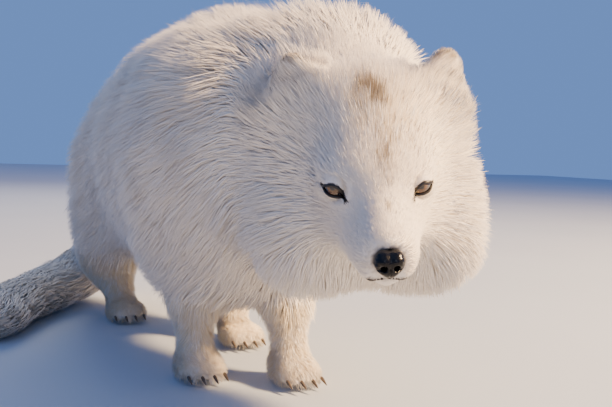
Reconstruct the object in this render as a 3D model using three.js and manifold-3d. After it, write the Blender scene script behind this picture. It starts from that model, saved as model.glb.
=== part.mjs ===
// An arctic fox in its full winter coat, life size, standing in mid step with its head low and turned to its right.
// Millimetres, +Z up. The fox faces -Y, its left side is +X, and the floor is z = 0.
// The flesh is one smooth field of distances to the tips of the coat, meshed and then parted into nodes by thin cuts.
import * as THREE from "three";
import { mergeVertices } from "three/addons/utils/BufferGeometryUtils.js";
import Module from "manifold-3d";

const wasm = await Module();
wasm.setup();

// ---------------------------------------------------------------- driving dimensions

const GAP = 0.35; // width of each cut between two nodes

// trunk and neck, out to the tips of the winter coat
const SHOULDER_WIDTH = 196;
const HIP_WIDTH = 204;
const WITHERS_HEIGHT = 304;
const RUMP_HEIGHT = 290;
const CHEST_FLOOR = 68; // height of the lowest chest fur above the floor
const HIP_BACK = 232; // from the shoulders back to the hips
const MANE_RADIUS = 84;

// head, measured from the point midway between the eyes
const EYE_MIDPOINT = [18, -172, 167];
const HEAD_TURN = -22.5; // degrees about the vertical, towards the fox's right
const HEAD_BOW = 20; // degrees down
const HEAD_TILT = -4; // degrees over, the right ear lower
const HEAD_BACK = 70; // from the eyes back to the cut behind the head
const RUFF_WIDTH = 160;
const CROWN_HEIGHT = 62;
const NOSE_REACH = 62; // from the eyes forward to the tip of the nose
const NOSE_DROP = 22; // from the eyes down to the middle of the nose
const NOSE_WIDTH = 19;
const MOUTH_DROP = 35; // from the eyes down to the line of the mouth
const MOUTH_CORNER = 14; // from the eyes forward to the corner of the mouth
const EYE_SPACING = 50; // between the centres of the eyeballs
const EYE_RADIUS = 8.4;
const EYE_SLIT_WIDTH = 15.5;
const EYE_SLIT_HEIGHT = 7.6;
const EAR_HEIGHT = 42;
const EAR_WIDTH = 46;
const EAR_THICKNESS = 13;

// legs
const PAW_HALF_SPACING = 36; // from the middle line out to each paw
const LEG_RADIUS = 16.5;
const PAW_WIDTH = 42;
const PAW_LENGTH = 54;
const PAW_HEIGHT = 26;
const TOE_SPACING = 10;
const CLAW_LENGTH = 11;
const LEG_CUT = 82; // height of the cut that parts each leg from the trunk

// tail
const TAIL_RADIUS = 39;
const TAIL_FLATTENING = 1.65; // width of the tail over its height

// ---------------------------------------------------------------- distance fields

// A field takes a point and gives its distance to a surface in mm, negative inside.

const radians = THREE.MathUtils.degToRad;
const clamp = THREE.MathUtils.clamp;

// An ellipsoid.
function egg([cx, cy, cz], [rx, ry, rz]) {
  return (x, y, z) => {
    const [dx, dy, dz] = [x - cx, y - cy, z - cz];
    const k0 = Math.hypot(dx / rx, dy / ry, dz / rz);
    const k1 = Math.hypot(dx / rx ** 2, dy / ry ** 2, dz / rz ** 2);
    return k1 > 1e-9 ? (k0 * (k0 - 1)) / k1 : -Math.min(rx, ry, rz);
  };
}

// A round bar from a to b that tapers from radius ra to rb.
function bar([ax, ay, az], ra, [bx, by, bz], rb) {
  const [ux, uy, uz] = [bx - ax, by - ay, bz - az];
  const square = ux * ux + uy * uy + uz * uz;
  return (x, y, z) => {
    const [px, py, pz] = [x - ax, y - ay, z - az];
    const t = clamp((px * ux + py * uy + pz * uz) / square, 0, 1);
    return Math.hypot(px - t * ux, py - t * uy, pz - t * uz) - ra - t * (rb - ra);
  };
}

// Bars through a list of [point, radius].
function chain(joints) {
  const bars = joints.slice(1).map(([b, rb], i) => bar(joints[i][0], joints[i][1], b, rb));
  return blend(8, ...bars);
}

// The union of fields, with a fillet about k mm wide where they meet.
function blend(k, ...fields) {
  return (x, y, z) => {
    let d = fields[0](x, y, z);
    for (let i = 1; i < fields.length; i++) {
      const e = fields[i](x, y, z);
      const h = Math.max(k - Math.abs(d - e), 0) / k;
      d = Math.min(d, e) - (h * h * k) / 4;
    }
    return d;
  };
}

// A field less another, with a soft edge about k mm wide.
function carve(k, field, tool) {
  const rest = blend(k, (x, y, z) => -field(x, y, z), tool);
  return (x, y, z) => -rest(x, y, z);
}

// A field made in its own frame, placed by a matrix without scale.
function placed(matrix, field) {
  const m = matrix.clone().invert().elements;
  return (x, y, z) =>
    field(
      m[0] * x + m[4] * y + m[8] * z + m[12],
      m[1] * x + m[5] * y + m[9] * z + m[13],
      m[2] * x + m[6] * y + m[10] * z + m[14],
    );
}

// A field made at a height squashed by a factor, stretched back to full height.
const stretched = (factor, field) => (x, y, z) => field(x, y, z * factor);

// A field mirrored in x, so that one side gives both.
const both = (field) => (x, y, z) => field(Math.abs(x), y, z);

// ---------------------------------------------------------------- trunk and neck

const headFrame = new THREE.Matrix4()
  .makeTranslation(...EYE_MIDPOINT)
  .multiply(new THREE.Matrix4().makeRotationZ(radians(HEAD_TURN)))
  .multiply(new THREE.Matrix4().makeRotationX(radians(HEAD_BOW)))
  .multiply(new THREE.Matrix4().makeRotationY(radians(HEAD_TILT)));

const inHead = (x, y, z) => new THREE.Vector3(x, y, z).applyMatrix4(headFrame).toArray();

function trunkField() {
  const squash = 0.82; // width of the trunk over its height
  const shoulderRadius = SHOULDER_WIDTH / 2;
  const hipRadius = HIP_WIDTH / 2 - 12;
  const middle = (WITHERS_HEIGHT + CHEST_FLOOR) / 2;
  const loaf = chain([
    [[0, 22, middle * squash], shoulderRadius],
    [[0, HIP_BACK * 0.5, (middle + 1) * squash], shoulderRadius - 2],
    [[0, HIP_BACK + 4, RUMP_HEIGHT * squash - hipRadius], hipRadius],
  ]);
  return stretched(squash, loaf);
}

// The neck carries a thick mane, as high as the back.
function neckField() {
  return blend(
    26,
    bar([4, 0, 200], MANE_RADIUS + 8, [40, -50, 212], MANE_RADIUS),
    bar([36, -46, 202], MANE_RADIUS - 6, inHead(4, 82, -4), 60),
    bar([8, -36, 150], 58, inHead(0, 56, -42), 46),
  );
}

// ---------------------------------------------------------------- legs

// A front leg from the shoulder to the paw, which stands at [x, y].
function frontLeg(x, y) {
  const side = Math.sign(x);
  const shoulder = [side * 46, 8, 176];
  const elbow = [side * 46, y + 26, 104];
  const wrist = [x, y + 12, 58];
  const pastern = [x, y + 8, 30];
  return blend(
    12,
    chain([[shoulder, 46], [elbow, 30], [wrist, LEG_RADIUS + 2], [pastern, LEG_RADIUS]]),
    paw(x, y),
  );
}

// A hind leg whose paw stands at [x, y], brought forward of the hip by reach.
function hindLeg(x, y, reach) {
  const side = Math.sign(x);
  const hip = [side * 48, HIP_BACK + 4, 176];
  const knee = [side * 54, y + 16 + reach * 0.35, 112];
  const hock = [side * 47, y + 50, 60];
  const heel = [x, y + 24, 26];
  // the long fur behind the thigh reaches down to the hock
  const breeches = chain([
    [[side * 48, HIP_BACK + 34, 156], 50],
    [[side * 48, y + 56, 78], 29],
  ]);
  return blend(
    14,
    chain([[hip, 52], [knee, 44], [hock, 31], [heel, LEG_RADIUS + 1]]),
    breeches,
    paw(x, y),
  );
}

// The middles of the four toes of a paw at [x, y]; the inner two stand further forward.
function toes(x, y) {
  return [-1.5, -0.5, 0.5, 1.5].map((n) => [
    x + n * TOE_SPACING,
    y - PAW_LENGTH / 3 + Math.abs(n) * TOE_SPACING * 0.45,
    8,
  ]);
}

// A broad furred paw.
function paw(x, y) {
  const pad = egg([x, y, 10], [PAW_WIDTH / 2, PAW_LENGTH / 2, PAW_HEIGHT - 10]);
  return blend(7, pad, ...toes(x, y).map((middle) => egg(middle, [8, 17, 13])));
}

// Where the paws stand. The left hind leg is well forward in mid step, and the right one carries the hips.
const PAWS = {
  front_left: [PAW_HALF_SPACING, -18],
  front_right: [3 - PAW_HALF_SPACING, 18],
  hind_left: [PAW_HALF_SPACING + 3, 112],
  hind_right: [-PAW_HALF_SPACING - 4, 250],
};

const legs = [
  frontLeg(...PAWS.front_left),
  frontLeg(...PAWS.front_right),
  hindLeg(...PAWS.hind_left, 120),
  hindLeg(...PAWS.hind_right, 0),
];

// ---------------------------------------------------------------- head

// The skull with its ruff, and the muzzle. The face looks along -Y in the frame of the head.
function faceField() {
  const muzzleEnd = 20 - NOSE_REACH;
  const mask = blend(
    20,
    egg([0, 62, -22], [RUFF_WIDTH / 2, 42, 90]),
    egg([0, 54, 6], [58, 48, CROWN_HEIGHT - 14]),
    egg([0, 20, -4], [34, 30, 32]),
    both(egg([44, 42, -53], [39, 35, 44])),
  );
  const muzzle = blend(
    8,
    bar([0, 6, -16], 23, [0, muzzleEnd, -21], 15),
    bar([0, -4, -5], 13, [0, muzzleEnd, -15], 9.5),
    both(bar([9, 0, -26], 19, [9, muzzleEnd + 2, -26], 12)),
    bar([0, 10, -34], 20, [0, muzzleEnd + 4, -34], 8),
  );
  const lids = both(egg([EYE_SPACING / 2 + 1, 4, 2], [12.5, 9.9, 10]));
  const brows = both(bar([12, 6, 10], 9, [32, 15, 10], 9));
  return blend(6, blend(12, blend(18, mask, muzzle), brows), lids);
}

const earFrame = (side) =>
  new THREE.Matrix4()
    .makeTranslation(side * 46, 55, 43)
    .multiply(new THREE.Matrix4().makeRotationZ(radians(side * 18)))
    .multiply(new THREE.Matrix4().makeRotationX(radians(-4)));

// The plane that parts an ear from the head slopes outward and down.
const earCut = (side) => earFrame(side).multiply(new THREE.Matrix4().makeRotationY(radians(side * 26)));

// An ear: a rounded triangle, flattened from front to back and hollow in front.
function earField(side) {
  const flatness = EAR_THICKNESS / 26;
  const outer = [side * EAR_WIDTH * 0.34, 0, -EAR_HEIGHT * 0.3];
  const inner = [side * EAR_WIDTH * -0.34, 0, 3];
  const tip = [side * 3, 0, EAR_HEIGHT * 0.42];
  const shell = blend(8, bar(outer, 13, tip, 13), bar(inner, 12, tip, 13), bar(outer, 13, inner, 12));
  const flat = (x, y, z) => shell(x, y / flatness, z) * flatness;
  const hollow = egg([side * 3, -12, 4], [14, 9, 20]);
  return placed(earFrame(side), carve(5, flat, hollow));
}

// The bare nose: two rounded wings above a narrower base, with a dip for each nostril. It is grown by extra mm.
function noseField(extra) {
  const half = NOSE_WIDTH / 2 + extra;
  const pad = blend(
    3,
    both(egg([3.2, 8 - NOSE_REACH, 1 - NOSE_DROP], [half - 3.4, 8 + extra, 7 + extra])),
    egg([0, 9 - NOSE_REACH, -3 - NOSE_DROP], [half - 4, 8 + extra, 6.5 + extra]),
  );
  const nostrils = both(egg([5, -NOSE_REACH, -1 - NOSE_DROP], [2.2, 4, 2]));
  return extra > 0 ? pad : carve(1.5, pad, nostrils);
}

// An eye looks forward and outward, and the slit of its lids slopes down towards the nose.
const eyeFrame = (side) =>
  new THREE.Matrix4()
    .makeTranslation((side * EYE_SPACING) / 2, 3.4, 2.2)
    .multiply(new THREE.Matrix4().makeRotationZ(radians(side * 20)))
    .multiply(new THREE.Matrix4().makeRotationY(radians(side * -20)));

// The slit between the lids: a pointed oval, cut through them in front of the eye.
function eyeSlit(side) {
  const [inner, outer] = [-EYE_SLIT_WIDTH / 2, EYE_SLIT_WIDTH / 2].map((x) => x * side);
  const outline = new THREE.Shape();
  outline.moveTo(inner, -1);
  outline.quadraticCurveTo(-side, EYE_SLIT_HEIGHT, outer, 0.5);
  outline.quadraticCurveTo(side, -EYE_SLIT_HEIGHT, inner, -1);
  const geometry = new THREE.ExtrudeGeometry(outline, { depth: 16, bevelEnabled: false, curveSegments: 6 });
  return geometry.translate(0, 0, 5).rotateX(Math.PI / 2);
}

// ---------------------------------------------------------------- the whole body, and the tail beside it

const head = blend(7, faceField(), earField(1), earField(-1));
const torso = blend(24, trunkField(), ...legs, neckField());
const body = blend(12, torso, placed(headFrame, head));
const bodyInHead = placed(headFrame.clone().invert(), body);

// The tail drops from the rump and lies in a curve on the fox's right.
const tailLine = new THREE.CatmullRomCurve3([
  new THREE.Vector3(0, HIP_BACK + 52, 186),
  new THREE.Vector3(-8, HIP_BACK + 118, 114),
  new THREE.Vector3(-42, HIP_BACK + 152, 47),
  new THREE.Vector3(-104, HIP_BACK + 110, 22),
  new THREE.Vector3(-150, HIP_BACK + 38, 20),
  new THREE.Vector3(-174, HIP_BACK - 32, 17),
]);

// The brush is fullest halfway along, and ends in a blunt tip.
const tailRadius = (t) => TAIL_RADIUS * (0.8 + 0.22 * Math.sin(Math.PI * t) - 0.16 * t * t);

// The brush, flattened where it lies on the floor.
function tailField() {
  const count = 10;
  const joints = [];
  for (let i = 0; i <= count; i++) {
    const at = tailLine.getPoint(i / count);
    joints.push([[at.x, at.y, at.z * TAIL_FLATTENING], tailRadius(i / count)]);
  }
  return stretched(TAIL_FLATTENING, chain(joints));
}

// ---------------------------------------------------------------- meshing

// Grid lines from a start through runs of [end, spacing].
function lines(start, ...runs) {
  const at = [start];
  for (const [end, spacing] of runs) {
    const from = at[at.length - 1];
    const count = Math.max(1, Math.round((end - from) / spacing));
    for (let i = 1; i <= count; i++) at.push(from + ((end - from) * i) / count);
  }
  return at;
}

// Wraps a field in a closed mesh of quads, one corner in each cell of the grid that the surface crosses,
// and moves each corner along the field's slope onto the surface.
function surface(field, grid) {
  const [nx, ny, nz] = grid.map((axis) => axis.length);
  const index = (i, j, k) => i + nx * (j + ny * k);
  const at = (i, j, k) => [grid[0][i], grid[1][j], grid[2][k]];
  const values = new Float64Array(nx * ny * nz);
  for (let k = 0; k < nz; k++)
    for (let j = 0; j < ny; j++)
      for (let i = 0; i < nx; i++) {
        // the outermost layer counts as outside, which closes the mesh
        const outermost = i === 0 || j === 0 || k === 0 || i === nx - 1 || j === ny - 1 || k === nz - 1;
        values[index(i, j, k)] = outermost ? 9 : field(...at(i, j, k));
      }
  while (unpinch(values, [1, nx, nx * ny])) continue;

  const corners = new Map();
  const positions = [];
  const cornerOf = (i, j, k) => {
    const key = index(i, j, k);
    if (!corners.has(key)) {
      corners.set(key, positions.length / 3);
      const size = Math.min(grid[0][i + 1] - grid[0][i], grid[1][j + 1] - grid[1][j], grid[2][k + 1] - grid[2][k]);
      positions.push(...settled(field, crossing(values, index, at, [i, j, k]), size));
    }
    return corners.get(key);
  };
  const faces = [];
  for (let k = 0; k < nz - 1; k++)
    for (let j = 0; j < ny - 1; j++)
      for (let i = 0; i < nx - 1; i++)
        for (let axis = 0; axis < 3; axis++) {
          const end = [i, j, k];
          end[axis]++;
          const inside = values[index(i, j, k)] < 0;
          if (inside === values[index(...end)] < 0) continue;
          const ring = [[0, 0], [-1, 0], [-1, -1], [0, -1]].map(([u, v]) => {
            const cell = [i, j, k];
            cell[(axis + 1) % 3] += u;
            cell[(axis + 2) % 3] += v;
            return cornerOf(...cell);
          });
          if (!inside) ring.reverse();
          faces.push(ring[0], ring[1], ring[2], ring[0], ring[2], ring[3]);
        }
  const geometry = new THREE.BufferGeometry();
  geometry.setAttribute("position", new THREE.Float32BufferAttribute(positions, 3));
  geometry.setIndex(faces);
  return geometry;
}

// Where only two opposite corners of a square in the grid are inside, the surface would pinch to a line,
// so the nearer of the other two is put just inside as well. Gives true if anything changed.
function unpinch(values, strides) {
  let changed = false;
  for (const [u, v] of [[strides[0], strides[1]], [strides[1], strides[2]], [strides[2], strides[0]]])
    for (let p = 0; p + u + v < values.length; p++) {
      const [a, b, c, d] = [values[p], values[p + u], values[p + v], values[p + u + v]];
      if (a < 0 !== d < 0 || b < 0 !== c < 0 || a < 0 === b < 0) continue;
      const [first, second] = a < 0 ? [p + u, p + v] : [p, p + u + v];
      values[values[first] < values[second] ? first : second] = -0.01;
      changed = true;
    }
  return changed;
}

// The mean of the points where the surface crosses the edges of a cell.
function crossing(values, index, at, cell) {
  const sum = [0, 0, 0];
  let hits = 0;
  for (let axis = 0; axis < 3; axis++)
    for (let other = 0; other < 4; other++) {
      const start = [...cell];
      start[(axis + 1) % 3] += other & 1;
      start[(axis + 2) % 3] += other >> 1;
      const end = [...start];
      end[axis]++;
      const a = values[index(...start)];
      const b = values[index(...end)];
      if (a < 0 === b < 0) continue;
      const [from, to] = [at(...start), at(...end)];
      for (let n = 0; n < 3; n++) sum[n] += from[n] + (a / (a - b)) * (to[n] - from[n]);
      hits++;
    }
  return sum.map((total) => total / hits);
}

// A point moved onto a field's surface in three short steps.
function settled(field, point, size) {
  const p = [...point];
  for (let step = 0; step < 3; step++) {
    const value = field(...p);
    const slope = [0, 1, 2].map((axis) => {
      const [ahead, behind] = [[...p], [...p]];
      ahead[axis] += 0.2;
      behind[axis] -= 0.2;
      return (field(...ahead) - field(...behind)) / 0.4;
    });
    const steep = slope[0] ** 2 + slope[1] ** 2 + slope[2] ** 2;
    if (steep < 0.04 || Math.abs(value) > 1.6 * size) break;
    const move = clamp(value / steep, -0.4 * size, 0.4 * size);
    for (let n = 0; n < 3; n++) p[n] -= move * slope[n];
  }
  return p;
}

// ---------------------------------------------------------------- solids

function solid(geometry) {
  const bare = geometry.clone();
  bare.deleteAttribute("normal");
  bare.deleteAttribute("uv");
  const merged = mergeVertices(bare, 1e-4);
  return new wasm.Manifold(
    new wasm.Mesh({
      numProp: 3,
      vertProperties: merged.attributes.position.array,
      triVerts: new Uint32Array(merged.index.array),
    }),
  );
}

function geometryOf(made) {
  const mesh = made.getMesh();
  const geometry = new THREE.BufferGeometry();
  geometry.setAttribute("position", new THREE.BufferAttribute(mesh.vertProperties, 3));
  geometry.setIndex(new THREE.BufferAttribute(mesh.triVerts, 1));
  geometry.computeVertexNormals();
  return geometry;
}

const HERE = new THREE.Matrix4();
const turned = (x, y, degrees) =>
  new THREE.Matrix4().makeTranslation(x, y, 0).multiply(new THREE.Matrix4().makeRotationZ(radians(degrees)));

const meshed = (field, grid, frame = HERE) => solid(surface(field, grid).applyMatrix4(frame));
const less = (made, ...tools) => tools.reduce((left, tool) => left.subtract(tool), made);

// A box between two corners in a frame, grown by extra mm on every side.
function box([low, high], frame = HERE, extra = 0) {
  const size = high.map((h, k) => h - low[k] + 2 * extra);
  const middle = high.map((h, k) => (h + low[k]) / 2);
  return solid(new THREE.BoxGeometry(...size).translate(...middle).applyMatrix4(frame));
}

// The largest piece of a solid, without the crumbs that a cut can leave.
function largest(made) {
  return made.decompose().sort((a, b) => b.volume() - a.volume())[0];
}

const fox = new THREE.Group();

const COAT = { color: 0xe9e6df, roughness: 0.9, metalness: 0 };
const EYE = { color: 0x5a3d22, roughness: 0.1, metalness: 0 };
const NOSE = { color: 0x17161a, roughness: 0.35, metalness: 0 };
const CLAW = { color: 0x5b5148, roughness: 0.4, metalness: 0 };

function add(name, made, look = COAT) {
  const mesh = new THREE.Mesh(geometryOf(made), new THREE.MeshStandardMaterial(look));
  mesh.name = name;
  fox.add(mesh);
}

// ---------------------------------------------------------------- regions that part the nodes

const FAR = 500;

// All that lies in front of the cut behind the head, and in front of the cut before the shoulders.
const headRegion = (extra = 0) =>
  box([[-FAR, -FAR, -FAR], [FAR, HEAD_BACK, FAR]], turned(EYE_MIDPOINT[0], EYE_MIDPOINT[1], HEAD_TURN), extra);
const neckRegion = (extra = 0) =>
  box([[-FAR, -FAR, -FAR], [FAR, 0, FAR]], turned(8, -44, HEAD_TURN / 2), extra);

function earRegion(side, extra = 0) {
  const across = side > 0 ? [-23, 31] : [-31, 23];
  return box([[across[0], -30, 8], [across[1], 20, 60]], headFrame.clone().multiply(earCut(side)), extra);
}
const jawRegion = (extra = 0) => box([[-40, -90, -70], [40, -MOUTH_CORNER, -MOUTH_DROP]], headFrame, extra);

const LEG_SPANS = {
  front_left: [[8, -70, 0], [86, 56, LEG_CUT]],
  front_right: [[-86, -40, 0], [-8, 86, LEG_CUT]],
  hind_left: [[8, 60, 0], [94, 214, LEG_CUT]],
  hind_right: [[-96, 206, 0], [-6, 352, LEG_CUT]],
};
const legNames = Object.keys(LEG_SPANS);
const legSeats = legNames.map((name) => box(LEG_SPANS[name], HERE, GAP));

// ---------------------------------------------------------------- nodes

const SIDES = [[1, "left"], [-1, "right"]];

// eyes, each a ball in a socket that opens through the slit of the lids
const sockets = [];
for (const [side, name] of SIDES) {
  const frame = headFrame.clone().multiply(eyeFrame(side));
  const ball = (radius) => solid(new THREE.SphereGeometry(radius, 12, 9).applyMatrix4(frame));
  add("eye_" + name, ball(EYE_RADIUS), EYE);
  sockets.push(ball(EYE_RADIUS + GAP), solid(eyeSlit(side).applyMatrix4(frame)));
}

// nose
const noseGrid = [lines(-14.3, [14.3, 2.6]), lines(-70.5, [-37, 2.8]), lines(-40, [-7, 2.7])];
add("nose", meshed(noseField(0), noseGrid, headFrame), NOSE);
const noseSeat = meshed(noseField(GAP), noseGrid, headFrame);

// ears, lower jaw and head
for (const [side, name] of SIDES) {
  const grid = [lines(side * 46 - 41, [side * 46 + 41, 6.6]), lines(21, [95, 5.2]), lines(20, [95, 6.8])];
  add("ear_" + name, largest(meshed(bodyInHead, grid, headFrame).intersect(earRegion(side))));
}
const jawGrid = [lines(-50, [50, 6]), lines(-70, [10, 7]), lines(-70, [-20, 5.5])];
add("lower_jaw", largest(meshed(bodyInHead, jawGrid, headFrame).intersect(jawRegion())));
const headGrid = [lines(-130, [130, 10.4]), lines(-80, [152, 10]), lines(-146, [152, 10.3])];
const headMesh = meshed(bodyInHead, headGrid, headFrame).intersect(headRegion());
add(
  "head",
  largest(less(headMesh, earRegion(1, GAP), earRegion(-1, GAP), jawRegion(GAP), ...sockets, noseSeat)),
);

// neck and trunk
const torsoGrid = [lines(-150, [170, 24.5]), lines(-200, [390, 31]), lines(20, [350, 23.5])];
const torsoMesh = meshed(body, torsoGrid);
add("neck", largest(less(torsoMesh.intersect(neckRegion()), headRegion(GAP), ...legSeats)));
add("trunk", largest(less(torsoMesh, neckRegion(GAP), ...legSeats)));

// tail, seated against the rump
const rumpClearance = 1.5;
const rump = meshed((x, y, z) => body(x, y, z) - rumpClearance, torsoGrid);
const tailGrid = [lines(-243, [60, 18.5]), lines(150, [433, 18.5]), lines(-31, [70, 13], [260, 18.5])];
const aboveFloor = box([[-FAR, -FAR, 0], [FAR, FAR, FAR]]);
add("tail", largest(meshed(tailField(), tailGrid).intersect(aboveFloor).subtract(rump)));

// A claw that points forward and down from the front of a toe.
function claw([x, y, z], extra = 0) {
  const taper = new THREE.CylinderGeometry(0.5 + extra, 2.2 + extra, CLAW_LENGTH + 2 * extra, 5);
  return solid(taper.rotateX(radians(200)).translate(x, y - 18, z - 0.5));
}

// legs with their claws
for (const name of legNames) {
  const [low, high] = LEG_SPANS[name];
  const grid = [
    lines(low[0] - 26, [high[0] + 25, 12.6]),
    lines(low[1] - 25, [high[1] + 25, 12.4]),
    lines(-20, [28, 10], [high[2] + 24, 17]),
  ];
  const nails = toes(...PAWS[name]);
  const leg = meshed(body, grid).intersect(box(LEG_SPANS[name]));
  add(name + "_leg", largest(less(leg, ...nails.map((toe) => claw(toe, GAP)))));
  nails.forEach((toe, i) => add(name + "_claw_" + (i + 1), claw(toe), CLAW));
}

// The origin is the middle of the bottom of the fox's bounding box.
const bounds = new THREE.Box3().setFromObject(fox);
const middle = bounds.getCenter(new THREE.Vector3());
for (const mesh of fox.children) mesh.geometry.translate(-middle.x, -middle.y, -bounds.min.z);

export default fox;
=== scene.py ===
# %% [markdown]
# # An arctic fox in its winter coat
#
# The real animal is a fox of about four and a half kilos that stands in a coat so thick that hardly
# anything of its body shows: a short muzzle, two small rounded ears, and four short legs. This lesson
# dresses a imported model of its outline. The outline goes out to the tips of the fur, so the skin is made
# from it by moving it inwards, and the fur then grows from the skin back out to the outline. Eyes, nose,
# lips and claws are pieces of their own.
#
# Lengths are in metres, Z is up, the fox faces -Y and its left side is +X.

# %% The frame that the fox is built on
import math

import bmesh
import bpy
import numpy as np
from mathutils import Matrix, Vector
from mathutils.bvhtree import BVHTree
from mathutils.kdtree import KDTree


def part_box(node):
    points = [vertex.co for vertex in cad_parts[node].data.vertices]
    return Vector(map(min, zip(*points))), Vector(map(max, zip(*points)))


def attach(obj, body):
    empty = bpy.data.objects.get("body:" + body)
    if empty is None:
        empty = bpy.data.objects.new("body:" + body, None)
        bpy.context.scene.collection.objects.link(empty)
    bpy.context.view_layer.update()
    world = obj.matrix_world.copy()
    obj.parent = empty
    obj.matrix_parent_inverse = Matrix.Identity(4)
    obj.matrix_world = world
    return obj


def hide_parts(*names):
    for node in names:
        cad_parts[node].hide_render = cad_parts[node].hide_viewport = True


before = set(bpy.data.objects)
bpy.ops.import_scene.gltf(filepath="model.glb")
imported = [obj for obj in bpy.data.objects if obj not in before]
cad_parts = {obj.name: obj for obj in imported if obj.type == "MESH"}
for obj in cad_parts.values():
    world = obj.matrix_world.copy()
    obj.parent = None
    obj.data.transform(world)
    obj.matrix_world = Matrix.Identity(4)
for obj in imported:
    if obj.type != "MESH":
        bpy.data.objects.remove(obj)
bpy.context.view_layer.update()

MM = 0.001
rng = np.random.default_rng(20)

# %% [markdown]
# ## Where the head is
#
# The head is lowered, turned to the right and tipped a little. Everything on the face is easier to place in
# a frame of its own, with x to the fox's left, y back along the skull and z up, and its origin between the
# eyes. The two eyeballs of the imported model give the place, and the three angles are the ones it was made
# with.

# %% Frames of the head and of each eye
HEAD_TURN, HEAD_BOW, HEAD_TILT = -22.5, 20, -4
EYE_PLACE = Vector((25, 3.4, 2.2)) * MM
EYE_RADIUS = 8.4 * MM
SIDES = {"left": 1, "right": -1}
LEGS = ("front_left_leg", "front_right_leg", "hind_left_leg", "hind_right_leg")


def turned(degrees, axis):
    """A turn about one axis, as a 4x4 matrix."""
    return Matrix.Rotation(math.radians(degrees), 4, axis)


def middle_of(node):
    low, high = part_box(node)
    return (low + high) / 2


def local(place, points):
    """Points of the row frame seen from a frame of their own, in mm."""
    inverse = np.array(place.inverted())
    return (points @ inverse[:3, :3].T + inverse[:3, 3]) / MM


def in_row(place, points):
    """The way back: points in mm in a frame of their own, seen from the row frame, in metres."""
    matrix = np.array(place)
    return (points * MM) @ matrix[:3, :3].T + matrix[:3, 3]


head_turn = turned(HEAD_TURN, "Z") @ turned(HEAD_BOW, "X") @ turned(HEAD_TILT, "Y")
between_eyes = (middle_of("eye_left") + middle_of("eye_right")) / 2
HEAD = Matrix.Translation(between_eyes - head_turn.to_3x3() @ Vector((0, *EYE_PLACE[1:]))) @ head_turn
EYE_ASIDE, EYE_SLANT = 20, -20  # degrees each eye is turned outwards, and its slit is tipped


def pair(place, aside, tipped):
    """A frame on either side of the head, turned outwards and then tipped."""
    return {
        side: HEAD @ Matrix.Translation((s * place.x, *place[1:])) @ turned(s * aside, "Z") @ tipped(s)
        for side, s in SIDES.items()
    }


EYES = pair(EYE_PLACE, EYE_ASIDE, lambda s: turned(s * EYE_SLANT, "Y"))
print("head at", [round(x, 3) for x in HEAD.translation])

# %% [markdown]
# ## The outline of the coat
#
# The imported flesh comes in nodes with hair-thin cuts between them. A voxel remesh of all of them together
# gives one closed surface without a seam, if each node is first swollen by more than half a cut. It serves
# as the line that the tips of the coat reach, and it is not shown itself.

# %% Ways from one kind of mesh to another


def meshed(shape, name):
    """A bmesh written to a new mesh, and freed."""
    mesh = bpy.data.meshes.new(name)
    shape.to_mesh(mesh)
    shape.free()
    return mesh


def shown(data, name):
    """A new object at the origin."""
    piece = bpy.data.objects.new(name, data)
    bpy.context.scene.collection.objects.link(piece)
    return piece


def settled(piece):
    """The mesh that a scratch object becomes with its modifiers or bevel. The object itself goes."""
    made = bpy.data.meshes.new_from_object(piece.evaluated_get(bpy.context.evaluated_depsgraph_get()))
    data = piece.data
    bpy.data.objects.remove(piece)
    (bpy.data.curves if isinstance(data, bpy.types.Curve) else bpy.data.meshes).remove(data)
    return made

# %% One closed outline
FLESH = ("head", "lower_jaw", "ear_left", "ear_right", "neck", "trunk", "tail") + LEGS
SWELL = 0.4 * MM
OUTLINE_GRID = 4 * MM
SKIN_GRID = 3.5 * MM


def packed_faces(nodes, swell):
    """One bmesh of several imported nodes, with a face layer that says which node each face came from."""
    whole = bmesh.new()
    source = whole.faces.layers.int.new("node")
    for index, name in enumerate(nodes):
        part = bmesh.new()
        part.from_mesh(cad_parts[name].data)
        bmesh.ops.remove_doubles(part, verts=part.verts, dist=1e-6)
        part.normal_update()
        for vertex in part.verts:
            vertex.co += vertex.normal * swell
        scratch = meshed(part, "scratch")
        before = len(whole.faces)
        whole.from_mesh(scratch)
        bpy.data.meshes.remove(scratch)
        whole.faces.ensure_lookup_table()
        for face in whole.faces[before:]:
            face[source] = index
    return whole


def remeshed(shape, voxel):
    """A closed mesh around a bmesh, on an even grid."""
    piece = shown(meshed(shape, "remeshed"), "remeshed")
    modifier = piece.modifiers.new("voxels", "REMESH")
    modifier.mode = "VOXEL"
    modifier.voxel_size = voxel
    return settled(piece)


def array_of(items, field, width, kind=np.float32):
    """One field of all corners, edges or triangles of a mesh, a row for each."""
    flat = np.empty(len(items) * width, kind)
    items.foreach_get(field, flat)
    return flat.reshape(-1, width)


def corners(mesh):
    return array_of(mesh.vertices, "co", 3).astype(float)


def normals(mesh):
    return array_of(mesh.vertex_normals, "vector", 3).astype(float)


def edges(mesh):
    return array_of(mesh.edges, "vertices", 2, np.int32)

# %% Values smoothed over a mesh


def relaxed(values, pairs, share=0.5, times=1):
    """Values at the corners of a mesh, each moved towards the mean of its neighbours."""
    values = values.astype(float)
    count = np.bincount(pairs.ravel(), minlength=len(values)).astype(float)
    count = np.maximum(count, 1)
    if values.ndim > 1:
        count = count[:, None]
        share = share if np.isscalar(share) else share[:, None]
    for _ in range(times):
        total = np.zeros_like(values)
        np.add.at(total, pairs[:, 0], values[pairs[:, 1]])
        np.add.at(total, pairs[:, 1], values[pairs[:, 0]])
        values = values + share * (total / count - values)
    return values


def carry(mesh, field, values):
    """A value at each corner of a mesh, for its material to read."""
    mesh.attributes.new(field, "FLOAT", "POINT").data.foreach_set("value", values.astype(np.float32))


def move_corners(mesh, points):
    mesh.vertices.foreach_set("co", points.astype(np.float32).ravel())
    mesh.update()

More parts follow.
